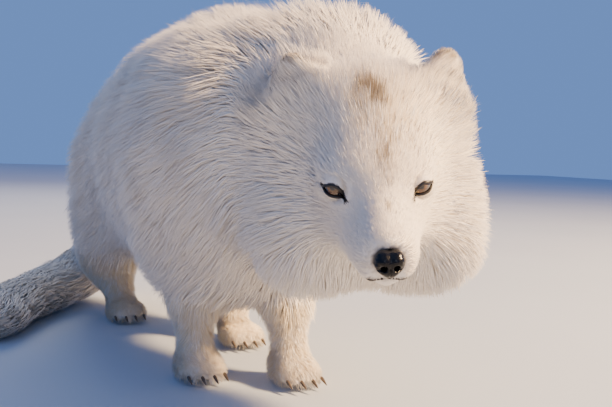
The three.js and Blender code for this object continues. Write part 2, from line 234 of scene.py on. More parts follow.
# %% The outline, and trees that find the nearest place on it
BODY = tuple(name for name in FLESH if name != "tail") + ("eye_left", "eye_right")


def outline_of(nodes):
    """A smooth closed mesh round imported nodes."""
    made = remeshed(packed_faces(nodes, SWELL), OUTLINE_GRID)
    move_corners(made, relaxed(corners(made), edges(made), 0.5, 3))
    return made


def tree_of(*meshes):
    """A search tree over the faces of some meshes."""
    shape = bmesh.new()
    for mesh in meshes:
        shape.from_mesh(mesh)
    tree = BVHTree.FromBMesh(shape)
    shape.free()
    return tree


body_outline = outline_of(BODY)
tail_outline = outline_of(("tail",))
outline_tree = tree_of(body_outline, tail_outline)
NODES = BODY + ("tail",)
packed = packed_faces(NODES, 0)
packed_tree = BVHTree.FromBMesh(packed)
face_node = np.array([face[packed.faces.layers.int["node"]] for face in packed.faces])
packed.free()
print("outline has", len(body_outline.vertices) + len(tail_outline.vertices), "corners")

# %% [markdown]
# ## Regions
#
# Fur on the muzzle is a millimetre or two deep, and on the back nearly three centimetres. Each corner of a
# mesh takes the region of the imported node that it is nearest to. Those labels are then smeared over the
# surface, so that depth, direction and length change gradually from one region to the next.

# %% Shares of each region at the corners of a mesh
REGIONS = {
    "face": ("head", "lower_jaw", "eye_left", "eye_right"),
    "ears": ("ear_left", "ear_right"),
    "neck": ("neck",),
    "trunk": ("trunk",),
    "tail": ("tail",),
    "legs": LEGS,
}


def smooth(low, high, value):
    """0 below low, 1 above high and an even rise between them. It falls instead if low is over high."""
    t = np.clip((value - low) / (high - low), 0, 1)
    return t * t * (3 - 2 * t)


def spot(points, middle_point, radii):
    """1 in the middle of an ellipsoid, falling to 0 at its edge."""
    return smooth(1, 0.15, np.linalg.norm((points - np.array(middle_point)) / np.array(radii), axis=1))


def region_shares(points, pairs, times):
    """For each region, its share at each point."""
    nearest = np.array([packed_tree.find_nearest(Vector(p))[2] for p in points])
    node = face_node[nearest]
    shares = {}
    for region, members in REGIONS.items():
        mine = np.isin(node, [NODES.index(name) for name in members])
        shares[region] = relaxed(mine.astype(float), pairs, 0.6, times)
    return shares

# %% Ears and the depth of the coat
EAR_PLACE = Vector((46, 55, 43)) * MM
EAR_ASIDE, EAR_BACK = 18, -4  # degrees each ear is turned outwards, and leans
EARS = pair(EAR_PLACE, EAR_ASIDE, lambda s: turned(EAR_BACK, "X"))


def ear_share(points):
    """1 on the ears, falling to 0 a little way round them."""
    share = np.zeros(len(points))
    for side, ear in EARS.items():
        e = local(ear, points)
        deep = np.where(e[:, 1] > 0, 13, 21)  # thin, as the neck lies close behind an ear
        towards_crown = smooth(0, -12, SIDES[side] * e[:, 0]) * (e[:, 1] > 0)
        wide = 31 - 10 * towards_crown
        away = np.linalg.norm(np.stack([e[:, 0] / wide, e[:, 1] / deep, e[:, 2] / 40], axis=1), axis=1)
        above_base = e[:, 2] + 0.75 * SIDES[side] * e[:, 0]  # the outer edge of an ear reaches further down
        share = np.maximum(share, smooth(1.3, 0.85, away) * smooth(-14, 8, above_base))
    return share


def by_region(shares, **values):
    """A value at each point, blended from one for each region."""
    return sum(shares[region] * value for region, value in values.items())


def coat_depth(points, shares):
    """How deep the coat is, in metres, from the skin out to the outline."""
    h = local(HEAD, points)
    height = points[:, 2] / MM
    cheek = smooth(24, 56, np.abs(h[:, 0]) + smooth(-34, -70, h[:, 2]) * 30)
    face = 1.5 + 5 * smooth(-8, 26, h[:, 1]) + 8 * cheek + 5 * smooth(40, 70, h[:, 1])
    trunk = 28 - 8 * smooth(110, 80, height)
    legs = 4 + 9 * smooth(40, 84, height)
    depth = by_region(shares, face=face, ears=8, neck=22, trunk=trunk, tail=8, legs=legs)
    ear = ear_share(points)
    depth = depth * (1 - ear) + 0.9 * ear
    for eye in EYES.values():
        away = np.linalg.norm(local(eye, points), axis=1)
        depth = depth * smooth(9, 24, away)
    return depth * MM

# %% [markdown]
# ## The skin
#
# Moving a surface inwards by nearly three centimetres in one go would fold it over itself in the armpits
# and behind the ears. Twelve small steps with a little smoothing between them keep it clean, in the way a
# sculptor's inflate brush is used gently. The tail is moved in by itself, because it nearly touches a hind
# leg, and a short cone inside the rump stands for its root. A second remesh then makes one skin of it all.

# %% Skin, inside the outline by the depth of the coat
STEPS = 12
TAIL_COAT = 9 * MM


def moved_in(mesh, depth):
    """A copy of a closed mesh, moved inwards by the depth of the coat at each corner."""
    made = mesh.copy()
    pairs = edges(made)
    points = corners(made)
    for _ in range(STEPS):
        points = points - normals(made) * (depth / STEPS)[:, None]
        points = relaxed(points, pairs, np.clip(depth / (24 * MM), 0, 0.8))
        move_corners(made, points)
    return made


def rod(shape, start, start_radius, end, end_radius, sides=24):
    """A round tapering rod between two points, added to a bmesh."""
    along = end - start
    matrix = Matrix.Translation((start + end) / 2) @ along.to_track_quat("Z", "Y").to_matrix().to_4x4()
    bmesh.ops.create_cone(
        shape,
        cap_ends=True,
        segments=sides,
        radius1=start_radius,
        radius2=end_radius,
        depth=along.length,
        matrix=matrix,
    )


pairs = edges(body_outline)
depth = coat_depth(corners(body_outline), region_shares(corners(body_outline), pairs, 16))
body_in = moved_in(body_outline, relaxed(depth, pairs, 0.6, 12))
tail_in = moved_in(tail_outline, np.full(len(tail_outline.vertices), TAIL_COAT))
TAIL_ROOT = Vector((0.036, 0.120, 0.195))  # inside the rump
TAIL_BASE = Vector((0.031, 0.236, 0.132))
shape = bmesh.new()
shape.from_mesh(body_in)
shape.from_mesh(tail_in)
rod(shape, TAIL_ROOT, 36 * MM, TAIL_BASE, 30 * MM)
skin_mesh = remeshed(shape, SKIN_GRID)
move_corners(skin_mesh, relaxed(corners(skin_mesh), edges(skin_mesh), 0.5, 2))
print("skin has", len(skin_mesh.vertices), "corners")

# %% [markdown]
# ## Eyelids and mouth
#
# A fox's eye shows through an almond whose inner corner is drawn out towards the nose. The lids lie on the
# eyeball like a shell under a millimetre thick. The mesh there is divided finely, the corners near an eye
# are put on a sphere just larger than the ball, and those inside the almond are pushed behind it. The chin
# and the two pads of the upper lip are pushed out a little, so that the mouth lies in the fold between.

# %% Lids and lips pressed into the skin
LID = 0.9 * MM
LID_REACH = 17 * MM  # how far round an eye the mesh is divided
ALMOND_OUTER, ALMOND_INNER = 7.8, -7.8  # mm from the middle of the eye, along the slit
CANTHUS = ((-7.0, -2.2), (-9.4, -1.4))  # the black tail of the inner corner, in mm in the eye's frame
CREASE = ((7.2, -1.9), (10.8, -4.8))  # the fine fold that runs out from the outer corner
LIP_HEIGHT = -35.0  # mm in the frame of the head


def lid_heights(t):
    """Heights of the upper and lower lid edge in mm, where t runs from 0 at the inner corner to 1."""
    axis = -1.9 - 0.4 * t
    return axis + 4.9 * np.sin(np.pi * t ** 1.05) ** 0.8, axis - 1.7 * np.sin(np.pi * t ** 1.6) ** 0.8


def almond(side, place_in_eye):
    """How far points lie outside the opening between the lids, in mm, negative inside it."""
    along = place_in_eye[:, 0] * SIDES[side]
    up = place_in_eye[:, 2]
    t = (along - ALMOND_INNER) / (ALMOND_OUTER - ALMOND_INNER)
    upper, lower = lid_heights(np.clip(t, 0, 1))
    return np.maximum(np.maximum(up - upper, lower - up), np.maximum(-t, t - 1) * 8)


def from_line(side, place_in_eye, line):
    """How far points lie from a short line in the frame of the eye, in mm, and how far along it they are."""
    p = place_in_eye[:, [0, 2]] * np.array((SIDES[side], 1))
    start, end = np.array(line)
    t = np.clip((p - start) @ (end - start) / ((end - start) @ (end - start)), 0, 1)
    return np.linalg.norm(p - start - t[:, None] * (end - start), axis=1), t


def outside_black(side, place_in_eye):
    """How far points lie outside the black skin of the lids, in mm."""
    rim = almond(side, place_in_eye) - np.where(place_in_eye[:, 2] > -2.0, 1.9, 1.5)
    tail, t = from_line(side, place_in_eye, CANTHUS)
    fold, u = from_line(side, place_in_eye, CREASE)
    return np.minimum(np.minimum(rim, tail - 1.3 + 1.0 * t), fold - 0.6 + 0.4 * u)

# %% Lids laid on the eyeballs, and pads of the lips


def divided_near(mesh, places, reach, cuts):
    """The mesh with the edges near some places divided."""
    shape = bmesh.new()
    shape.from_mesh(mesh)
    for _ in range(cuts):
        near = [
            edge
            for edge in shape.edges
            if min(((edge.verts[0].co + edge.verts[1].co) / 2 - p).length for p in places) < reach
        ]
        bmesh.ops.subdivide_edges(shape, edges=near, cuts=1, use_grid_fill=True)
    bmesh.ops.triangulate(shape, faces=[face for face in shape.faces if len(face.verts) > 4])
    shape.to_mesh(mesh)
    shape.free()


divided_near(skin_mesh, [eye.translation for eye in EYES.values()], LID_REACH, 2)
points = corners(skin_mesh)
for side, eye in EYES.items():
    e = local(eye, points)
    across = np.hypot(e[:, 0], e[:, 2])
    ball = (EYE_RADIUS + LID) / MM
    front = -np.sqrt(np.maximum(ball ** 2 - across ** 2, 0))
    outside = almond(side, e)
    front = front + 3.2 * smooth(0.5, -0.6, outside)
    near = smooth(9.6, 6.9, across) * (e[:, 1] < 0)
    e[:, 1] += near * (front - e[:, 1])
    points = np.where((near > 0)[:, None], in_row(eye, e), points)
h = local(HEAD, points)
PADS = (  # chin and the two pads of the upper lip: middle, reach and push, in mm in the frame of the head
    ((0, -38, -41), (15, 17, 9), (0, -5.0, -2.8)),
    ((9, -45, -33), (9, 13, 7), (1.0, -1.6, -2.0)),
    ((-9, -45, -33), (9, 13, 7), (-1.0, -1.6, -2.0)),
)
for pad_middle, pad_reach, push in PADS:
    h = h + spot(h, pad_middle, pad_reach)[:, None] * np.array(push)
move_corners(skin_mesh, in_row(HEAD, h))
print("skin has", len(skin_mesh.vertices), "corners after the lids")

# %% [markdown]
# ## The lie of the coat
#
# Hair on a fox starts at the nose and runs back over the face, out over the cheeks, along the back, down
# the flanks and legs, and along the tail. At each corner of the skin this step works out which way the hair
# runs, how long it is, how thick a tuft is and how many there are on each square centimetre. Its lean
# follows from its length and from how far away the outline is, so that the tips reach the outline and no
# further.

# %% Regions on the skin, and the line of the tail
TAIL_LINE = np.array(
    [(36, 183, 186), (28, 249, 114), (-6, 283, 47), (-68, 241, 22), (-114, 169, 20), (-138, 99, 17)]
) * MM
head_axes = np.array(HEAD.to_3x3())
skin_pairs = edges(skin_mesh)
skin_points = corners(skin_mesh)
skin_normals = normals(skin_mesh)
shares = region_shares(skin_points, skin_pairs, 10)
ear = ear_share(skin_points)
for region in shares:
    shares[region] = shares[region] * (1 - ear)
shares["ears"] = shares["ears"] + ear
total = sum(shares.values())
shares = {region: share / total for region, share in shares.items()}
in_head = local(HEAD, skin_points)
height = skin_points[:, 2] / MM


def unit(vectors):
    return vectors / np.maximum(np.linalg.norm(vectors, axis=-1, keepdims=True), 1e-9)


def tail_run(points):
    """The direction along the tail beside each point, and how far along it that is, from 0 to 1."""
    best = np.full(len(points), 1e9)
    run = np.zeros((len(points), 3))
    along = np.zeros(len(points))
    for index, (start, end) in enumerate(zip(TAIL_LINE[:-1], TAIL_LINE[1:])):
        step = end - start
        t = np.clip(((points - start) @ step) / (step @ step), 0, 1)
        away = np.linalg.norm(points - start - t[:, None] * step, axis=1)
        closer = away < best
        best[closer] = away[closer]
        run[closer] = step / np.linalg.norm(step)
        along[closer] = ((index + t) / (len(TAIL_LINE) - 1))[closer]
    return run, along

# %% Which way the hair runs
cheek = smooth(24, 56, np.abs(in_head[:, 0]) + smooth(-30, -66, in_head[:, 2]) * 34)
under = smooth(-38, -58, in_head[:, 2])
face_run = unit(in_head - np.array((0, -84, -30)))
face_run[:, 2] -= 0.9 * cheek * smooth(30, -30, in_head[:, 2]) + 0.8 * under
in_dish = np.zeros_like(height)  # 1 in the hollow in front of an ear
for ear_frame in EARS.values():
    facing = -(skin_normals @ np.array(ear_frame.to_3x3())[:, 1])
    near_ear = np.linalg.norm(local(ear_frame, skin_points), axis=1) < 60
    in_dish = np.maximum(in_dish, ear * smooth(0.2, 0.7, facing) * near_ear)
none = np.zeros_like(height)
ear_run = np.stack([np.sign(in_head[:, 0]) * (0.15 + 0.75 * in_dish), 0.1 + none, 1 + none], axis=1)
side_on = np.abs(skin_normals[:, 0])
rump = smooth(0.35, 0.9, skin_normals[:, 1])
trunk_run = np.stack([none, 1 - 0.7 * rump, -0.12 - 0.75 * side_on - 0.9 * rump], axis=1)
paw = smooth(34, 20, height)
leg_run = np.stack([none, 0.22 - 1.2 * paw, -1 + 0.6 * paw], axis=1)
run = (
    shares["face"][:, None] * (unit(face_run) @ head_axes.T)
    + shares["ears"][:, None] * (unit(ear_run) @ head_axes.T)
    + (shares["neck"] + shares["trunk"])[:, None] * unit(trunk_run)
    + shares["tail"][:, None] * tail_run(skin_points)[0]
    + shares["legs"][:, None] * unit(leg_run)
)
WAVES = (((90, 70, 120), 0), ((-80, 110, 60), 2), ((70, -90, 100), 4))
sway = np.stack([np.sin(skin_points @ np.array(wave) + phase) for wave, phase in WAVES], axis=1)
run = unit(run) + 0.16 * sway * (1 - 0.6 * shares["face"][:, None])
standing = np.clip(np.sum(unit(run) * skin_normals, axis=1), 0, 1)  # 1 where hair would leave the skin's end
run = run - np.sum(run * skin_normals, axis=1)[:, None] * skin_normals
run = unit(relaxed(unit(run), skin_pairs, 0.6, 4))

# %% How long and how thick the tufts are, and how many
reach = np.array([outline_tree.find_nearest(Vector(p))[3] for p in skin_points])
reach = relaxed(reach, skin_pairs, 0.6, 4)
back_of_face = smooth(-20, 30, in_head[:, 1])
face_length = 4.6 + 11.5 * back_of_face + 15 * cheek * back_of_face + 6 * smooth(36, 70, in_head[:, 1])
leg_length = 9 + 20 * smooth(40, 86, height)
ear_length = 6 + 5 * in_dish
length = by_region(shares, face=face_length, ears=ear_length, neck=44, trunk=48, tail=38, legs=leg_length)
length = np.maximum(length * MM, 1.3 * reach)
face_girth = 0.5 + 0.3 * back_of_face + 0.2 * cheek
girth = by_region(shares, face=face_girth, ears=0.55, neck=1.15, trunk=1.25, tail=1.2, legs=0.8) * MM
on_muzzle = 235 - 70 * back_of_face - 75 * cheek
number = by_region(shares, face=on_muzzle, ears=190, neck=80, trunk=56, tail=72, legs=118)
mane = shares["neck"] * smooth(0.2, 0.7, skin_normals[:, 2]) * smooth(60, 95, in_head[:, 1])

# %% Shorter hair by the eyes and nose, and none on lids, lips and soles
nose_tree = tree_of(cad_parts["nose"].data)
from_nose = np.array([nose_tree.find_nearest(Vector(p))[3] for p in skin_points])
lid_gap = np.full(len(skin_points), 99.0)
for side, eye in EYES.items():
    e = local(eye, skin_points)
    close = (np.linalg.norm(e, axis=1) < 18) & (e[:, 1] < 4)
    lid_gap = np.where(close, np.minimum(lid_gap, outside_black(side, e)), lid_gap)
length = length * (0.30 + 0.70 * smooth(0, 10, lid_gap)) * (0.40 + 0.60 * smooth(0, 9 * MM, from_nose))
girth = girth * (0.75 + 0.25 * smooth(0, 8, lid_gap))
lip_gap = np.abs(in_head[:, 2] - LIP_HEIGHT + 0.10 * (in_head[:, 1] + 52))
lip_gap = lip_gap + 40 * smooth(-16, -12, in_head[:, 1])
lip_gap = np.where((np.abs(in_head[:, 0]) < 26) & (in_head[:, 2] > -42), lip_gap, 99)
on_sole = (height < 7) & (skin_normals[:, 2] < -0.7)
bare = (lid_gap < 0.1) | (lip_gap < 0.8) | (from_nose < 0.5 * MM) | on_sole
number = np.where(bare, 0, number * (1 + 0.5 * smooth(7, 1, lid_gap)))
print("hair from", round(length.min() / MM, 1), "to", round(length.max() / MM, 1), "mm")

# %% [markdown]
# ## Markings
#
# An arctic fox in winter is not one flat white. A few tan hairs of the summer coat are left on the crown,
# down the bridge of the muzzle and on the tips and outer edges of the ears, grey hair shows on the crown
# and inside the ears, legs and brow are cream, and the tail and lower flanks are a little dirty. Each
# marking is a share at each corner of the skin, and each tuft takes the share at its root, so that skin and
# coat always agree.

# %% Share of each marking at each corner of the skin
on_face = 1 - shares["ears"]
tan = 0.56 * on_face * spot(in_head, (-1, 31, 46), (16, 27, 20))
tan = np.maximum(tan, 0.42 * on_face * spot(in_head, (3, 0, 20), (10, 36, 30)))
tan = np.maximum(tan, 0.24 * on_face * spot(in_head, (15, 10, 27), (15, 20, 18)))
tan = np.maximum(tan, 0.50 * on_face * spot(in_head, (2.5, -26, -0.5), (3.5, 7, 6)))
grey = 0.34 * on_face * spot(in_head, (-1, 26, 42), (8, 34, 22))
for side, ear_frame in EARS.items():
    e = local(ear_frame, skin_points)
    highest = e[shares["ears"] > 0.5][:, 2].max()
    tan = np.maximum(tan, 0.55 * shares["ears"] * smooth(highest - 13, highest - 2, e[:, 2]))
    outer_edge = smooth(0.35, 0.8, SIDES[side] * (skin_normals @ np.array(ear_frame.to_3x3())[:, 0]))
    outer_edge = outer_edge * smooth(0, 14, e[:, 2]) * (np.linalg.norm(e, axis=1) < 60)
    tan = np.maximum(tan, 0.42 * shares["ears"] * outer_edge)
    dish = in_dish * smooth(highest - 8, highest - 20, e[:, 2]) * smooth(-10, 8, e[:, 2])
    grey = np.maximum(grey, 0.30 * dish * (np.linalg.norm(e, axis=1) < 60))
cream = shares["legs"] * (0.42 - 0.2 * paw) * smooth(118, 70, height)
cream = cream + 0.12 * shares["trunk"] * smooth(135, 80, height)
cream = cream + 0.05 * shares["tail"]
cream = np.maximum(cream, 0.34 * on_face * spot(in_head, (6, 22, 36), (34, 44, 40)))
marks = {"tan": tan, "grey": grey, "cream": cream}
print({name: round(float(share.mean()), 3) for name, share in marks.items()})

# %% [markdown]
# ## Tufts
#
# A single hair is far too thin to model, so each tuft stands for a pointed lock of them, flattened as wet
# paint strokes are. Long fur has three kinds: short broad tufts that close the underwool, fine straight
# ones, and bent ones that make the locks seen from outside. Roots are scattered over the skin at random.
# Neighbouring tufts are drawn together towards their tips, because real fur parts into locks, and a few
# guard hairs reach further than the rest. All tufts of a piece are joined in one mesh made straight from
# arrays.

# %% Roots scattered over the skin
skin_mesh.calc_loop_triangles()
triangles = array_of(skin_mesh.loop_triangles, "vertices", 3, np.int32)
a, b, c = (skin_points[triangles[:, k]] for k in range(3))
area = np.linalg.norm(np.cross(b - a, c - a), axis=1) / 2
wanted = area * 1e4 * number[triangles].mean(axis=1)
owner = np.repeat(np.arange(len(triangles)), rng.poisson(wanted))
u, v = rng.random(len(owner)), rng.random(len(owner))
u, v = np.where(u + v > 1, 1 - u, u), np.where(u + v > 1, 1 - v, v)
mix = np.stack([1 - u - v, u, v], axis=1)


def at_roots(values):
    """Values of the skin's corners, carried to the root of each tuft."""
    picked = values[triangles[owner]]
    weight = mix if values.ndim == 1 else mix[:, :, None]
    return (picked * weight).sum(axis=1)


root = at_roots(skin_points)
out = unit(at_roots(skin_normals))
flow = at_roots(run)
flow = unit(flow - np.sum(flow * out, axis=1)[:, None] * out)
across = np.cross(out, flow)
tuft_length = at_roots(length)
tuft_girth = at_roots(girth)
tuft_reach = at_roots(reach)
tuft_mane = at_roots(mane)
tuft_standing = at_roots(standing)
tuft_share = {region: at_roots(share) for region, share in shares.items()}
tuft_marks = {name: at_roots(share) for name, share in marks.items()}
count = len(root)
print(count, "tufts on the skin")

# %% Middle and tip of each tuft
long_hair = smooth(10 * MM, 32 * MM, tuft_length)
kind = rng.random(count)
bent = kind < 0.06 + 0.22 * long_hair
wool = (kind > 0.70) & (long_hair > 0.3)
guard = rng.random(count) < 0.06
tuft_length = tuft_length * rng.uniform(0.80, 1.10, count)
tuft_length = tuft_length * np.where(wool, 0.66, 1) * np.where(guard, 1.14, 1)
tuft_girth = tuft_girth * np.where(wool, 1.9, 1) * np.where(bent | wool, 1, 0.9)
tuft_girth = tuft_girth * rng.uniform(0.8, 1.15, count)
lean = np.arcsin(np.clip(tuft_reach / tuft_length, 0.12, 0.80))
lean = lean + 1.1 * smooth(0.55, 0.95, tuft_standing) + tuft_mane * 0.28 + rng.normal(0, 0.06, count)
heading = unit(flow + rng.normal(0, 0.09, count)[:, None] * across)
bend = np.where(bent, 0.12 + 0.16 * long_hair, 0)


def stride(angle):
    return heading * np.cos(angle)[:, None] + out * np.sin(angle)[:, None]


middle = root + stride(lean + bend) * (tuft_length * 0.5)[:, None]
tip = middle + stride(lean - bend) * (tuft_length * 0.5)[:, None]

LOCK = 3.2 * MM + 8 * MM * long_hair  # how far apart locks are
roots_each = np.maximum(at_roots(number) * 1e4 * LOCK ** 2, 1)
leaders = np.flatnonzero(rng.random(count) < 1 / roots_each)
tree = KDTree(len(leaders))
for index, leader in enumerate(leaders):
    tree.insert(root[leader], index)
tree.balance()
lock = np.array([tree.find(p)[1] for p in root])
leader = leaders[lock]
pull = (0.34 + 0.28 * long_hair) * rng.uniform(0.4, 1, count) * np.where(guard | wool, 0.4, 1)
pull = pull * (1 - 0.7 * tuft_share["tail"])  # the brush of the tail hangs loose, hardly parted into locks
shift = tip[leader] + (root - root[leader]) * 0.25 - tip
shift = shift * np.minimum(1, 1.2 * LOCK / np.maximum(np.linalg.norm(shift, axis=1), 1e-6))[:, None]
tip = tip + shift * pull[:, None]
middle = middle + shift * (pull * 0.35)[:, None]

# %% Tips stay at the outline, but for the mane on the neck
proud = (0.8 + 2.2 * long_hair + 9 * tuft_mane + 2.5 * guard * long_hair) * MM
for index, point in enumerate(tip):
    near, normal = outline_tree.find_nearest(Vector(point))[:2]
    over = (Vector(point) - near).dot(normal) - proud[index]
    if over > 0:
        tip[index] = point - np.array(normal) * over
        middle[index] = middle[index] - np.array(normal) * over * 0.45
tip[:, 2] = np.maximum(tip[:, 2], 0.6 * MM)
middle[:, 2] = np.maximum(middle[:, 2], 1.0 * MM)
tone = 0.55 * rng.random(count) + 0.45 * rng.random(len(leaders))[lock]
print(len(leaders), "locks,", bent.sum(), "bent tufts and", wool.sum(), "of underwool")

# %% The shape of a tuft
PATCH = 0.003  # how wide a tuft's patch is in the unwrap
ACROSS = ((0.0, 0.34), (1.0, -0.16), (-1.0, -0.16))  # a flattened triangle, its ridge outside
BENT_FACES = ((0, 1, 4, 3), (2, 0, 3, 5), (3, 4, 6), (5, 3, 6), (1, 2, 5, 4), (4, 5, 6), (2, 1, 0))
BENT_UV = (
    ((0, 0), (1, 0), (1, 1), (0, 1)),
    ((2, 0), (3, 0), (3, 1), (2, 1)),
    ((0, 1), (1, 1), (0.5, 2)),
    ((2, 1), (3, 1), (2.5, 2)),
    ((1, 0), (2, 0), (2, 1), (1, 1)),
    ((1, 1), (2, 1), (1.5, 2)),
    ((2, 0), (1, 0.4), (0, 0)),
)
STRAIGHT_FACES = ((0, 1, 3), (2, 0, 3), (1, 2, 3), (2, 1, 0))
STRAIGHT_UV = (
    ((0, 0), (1, 0), (0.5, 2)),
    ((2, 0), (3, 0), (2.5, 2)),
    ((1, 0), (2, 0), (1.5, 2)),
    ((2, 0), (1, 0.4), (0, 0)),
)


def tufts(mine, unwrapped, faces, face_uv, rings):
    """Corners, faces, unwrap and normals of tufts of one kind, as arrays with one row for each tuft."""
    direction = unit(middle[mine] - root[mine])
    sideways = unit(np.cross(direction, out[mine]))
    foot = root[mine] - out[mine] * (0.5 * MM)
    spots = []
    size = tuft_girth[mine] * 0.5
    for place_of, share in ((foot, 0.9), (middle[mine], 1.0))[:rings]:
        over = unit(np.cross(sideways, direction))
        spots += [place_of + (x * sideways + z * over) * (size * share)[:, None] for x, z in ACROSS]
    spots.append(tip[mine])
    ridge = unit(over + 0.8 * out[mine])
    left, right = unit(ridge + 0.95 * sideways), unit(ridge - 0.95 * sideways)
    corner_normal = [ridge, left, right] * rings + [ridge]
    upper = (len(faces) + 1) // 2
    uv, turned_out = [], []
    for number_of, (face, flat) in enumerate(zip(faces, face_uv)):
        for corner, (x, y) in zip(face, flat):
            uv.append(unwrapped + (np.array((x / 3, y / 2)) - 0.5) * PATCH)
            below = -direction if number_of == len(faces) - 1 else unit(direction - 0.2 * over)
            turned_out.append(corner_normal[corner] if number_of < upper else below)
    return np.stack(spots, axis=1), faces, np.stack(uv, axis=1), np.stack(turned_out, axis=1)

# %% One mesh from many tufts


def tuft_mesh(name, mine, unwrapped):
    """A mesh of the tufts numbered in mine, with the unwrap of their roots."""
    is_bent = bent[mine]
    kinds = [
        (mine[is_bent], tufts(mine[is_bent], unwrapped[is_bent], BENT_FACES, BENT_UV, 2)),
        (mine[~is_bent], tufts(mine[~is_bent], unwrapped[~is_bent], STRAIGHT_FACES, STRAIGHT_UV, 1)),
    ]
    points, loops, sizes, uvs, lights, along = [], [], [], [], [], []
    values = {field: [] for field in ("tone", *tuft_marks)}
    first = 0
    for some, (spots, faces, uv, light) in kinds:
        each = spots.shape[1]
        flat_faces = np.array([corner for face in faces for corner in face])
        loops.append((flat_faces + first + each * np.arange(len(some))[:, None]).ravel())
        sizes.append(np.tile([len(face) for face in faces], len(some)))
        points.append(spots.reshape(-1, 3))
        uvs.append(uv.reshape(-1, 2))
        lights.append(light.reshape(-1, 3))
        along.append(np.tile([0, 0, 0, 0.5, 0.5, 0.5, 1] if each == 7 else [0, 0, 0, 1], len(some)))
        values["tone"].append(np.repeat(tone[some], each))
        for field, share in tuft_marks.items():
            values[field].append(np.repeat(share[some], each))
        first += each * len(some)
    values["along"] = along
    points, loops, sizes, uvs, lights = map(np.concatenate, (points, loops, sizes, uvs, lights))
    mesh = bpy.data.meshes.new(name)
    mesh.vertices.add(len(points))
    mesh.vertices.foreach_set("co", points.astype(np.float32).ravel())
    mesh.loops.add(len(loops))
    mesh.loops.foreach_set("vertex_index", loops.astype(np.int32))
    mesh.polygons.add(len(sizes))
    mesh.polygons.foreach_set("loop_start", (np.cumsum(sizes) - sizes).astype(np.int32))
    mesh.update(calc_edges=True)
    mesh.uv_layers.new(name="OFBake").data.foreach_set("uv", uvs.astype(np.float32).ravel())
    for field, parts in values.items():
        carry(mesh, field, np.concatenate(parts))
    mesh.shade_smooth()
    mesh.normals_split_custom_set(lights)
    return mesh, int((sizes - 2).sum())

# %% [markdown]
# ## Unwraps for the coat
#
# Each tuft takes the colour of the place where it grows, so each is given a small patch of an unwrap at its
# root. Round forms are unwrapped like a globe and long ones like a tube.

# %% Where the roots lie on an unwrap of the skin


def within(values):
    """Values spread over the unwrap, clear of its edges."""
    low, high = values.min(), values.max()
    return 0.01 + 0.98 * (values - low) / max(high - low, 1e-9)


def globe(points):
    """Round the middle of the points, with poles in front and behind."""
    p = points - (points.min(axis=0) + points.max(axis=0)) / 2
    turn = np.arctan2(p[:, 2], p[:, 0])
    tilt = np.arctan2(p[:, 1], np.hypot(p[:, 0], p[:, 2]))
    return np.stack([within(turn), within(tilt)], axis=1)


def tube(points, upright):
    """Round a long form, which stands upright or lies along Y."""
    p = points - (points.min(axis=0) + points.max(axis=0)) / 2
    if upright:
        return np.stack([within(np.arctan2(p[:, 1], p[:, 0])), within(p[:, 2])], axis=1)
    return np.stack([within(np.arctan2(p[:, 2], p[:, 0])), within(p[:, 1])], axis=1)


def along_tail(points):
    """Round the tail and along it."""
    run_here, along = tail_run(points)
    steps = np.linspace(0, 1, len(TAIL_LINE))
    core = np.stack([np.interp(along, steps, TAIL_LINE[:, k]) for k in range(3)], axis=1)
    p = points - core
    sideways = unit(np.cross(run_here, np.array((0, 0, 1))))
    over = np.cross(sideways, run_here)
    turn = np.arctan2(np.sum(p * over, axis=1), np.sum(p * sideways, axis=1))
    return np.stack([within(turn), within(along)], axis=1)

# %% The coat in pieces
names = list(tuft_share)
main = np.argmax(np.stack([tuft_share[name] for name in names]), axis=0)
grows_on = {name: main == index for index, name in enumerate(names)}
head_left = local(HEAD, root)[:, 0] > 0
groups = {
    "coat_face": (grows_on["face"], globe),
    "coat_ear_left": (grows_on["ears"] & head_left, globe),
    "coat_ear_right": (grows_on["ears"] & ~head_left, globe),
    "coat_neck": (grows_on["neck"], lambda p: tube(p, False)),
    "coat_trunk": (grows_on["trunk"], lambda p: tube(p, False)),
    "coat_tail": (grows_on["tail"], along_tail),
}
leg_middle = np.array([middle_of(name)[:2] for name in LEGS])
nearest_leg = np.argmin(np.linalg.norm(root[:, None, :2] - leg_middle[None], axis=2), axis=1)
for index, name in enumerate(LEGS):
    groups["coat_" + name] = (grows_on["legs"] & (nearest_leg == index), lambda p: tube(p, True))

PIECE_TRIANGLES = 180_000
coat = []
all_triangles = 0
for name, (members, unwrap) in groups.items():
    mine = np.flatnonzero(members)
    parts = math.ceil(np.where(bent[mine], 10, 4).sum() / PIECE_TRIANGLES)
    mine = mine[np.argsort(root[mine, 1], kind="stable")]
    for index, some in enumerate(np.array_split(mine, parts)):
        title = name if parts == 1 else f"{name}_{index + 1}"
        mesh, triangle_count = tuft_mesh(title, some, unwrap(root[some]))
        coat.append(mesh)
        all_triangles += triangle_count
        print(title, triangle_count, "triangles")
print("coat", all_triangles, "triangles")

# %% [markdown]
# ## Colours and finishes
#
# Colours are written as sRGB hex values, the way a paint chart gives them, and turned to linear light once.
# The one helper that makes shader nodes adds a node with its settings and links, and gives back the output
# wanted. Values that are the same all over a surface are set on the shader itself.

# %% Colour and node helpers


def colour(code):
    """An sRGB hex colour as linear RGBA."""
    parts = [int(code[i : i + 2], 16) / 255 for i in (1, 3, 5)]
    return (*[p / 12.92 if p <= 0.04045 else ((p + 0.055) / 1.055) ** 2.4 for p in parts], 1.0)


def enabled(sockets, name):
    """The socket of that name that is in use, as some nodes hold several."""
    return next(socket for socket in sockets if socket.name == name and socket.enabled)


def add(tree, kind, output, inputs=None, **settings):
    """One output of a new node with its settings. An input takes a value, or an output to link to it."""
    node = tree.nodes.new(kind)
    for name, value in settings.items():
        setattr(node, name, value)
    for name, value in (inputs or {}).items():
        socket = node.inputs[name] if isinstance(name, int) else enabled(node.inputs, name)
        if isinstance(value, bpy.types.NodeSocket):
            tree.links.new(value, socket)
        else:
            socket.default_value = value
    return enabled(node.outputs, output)


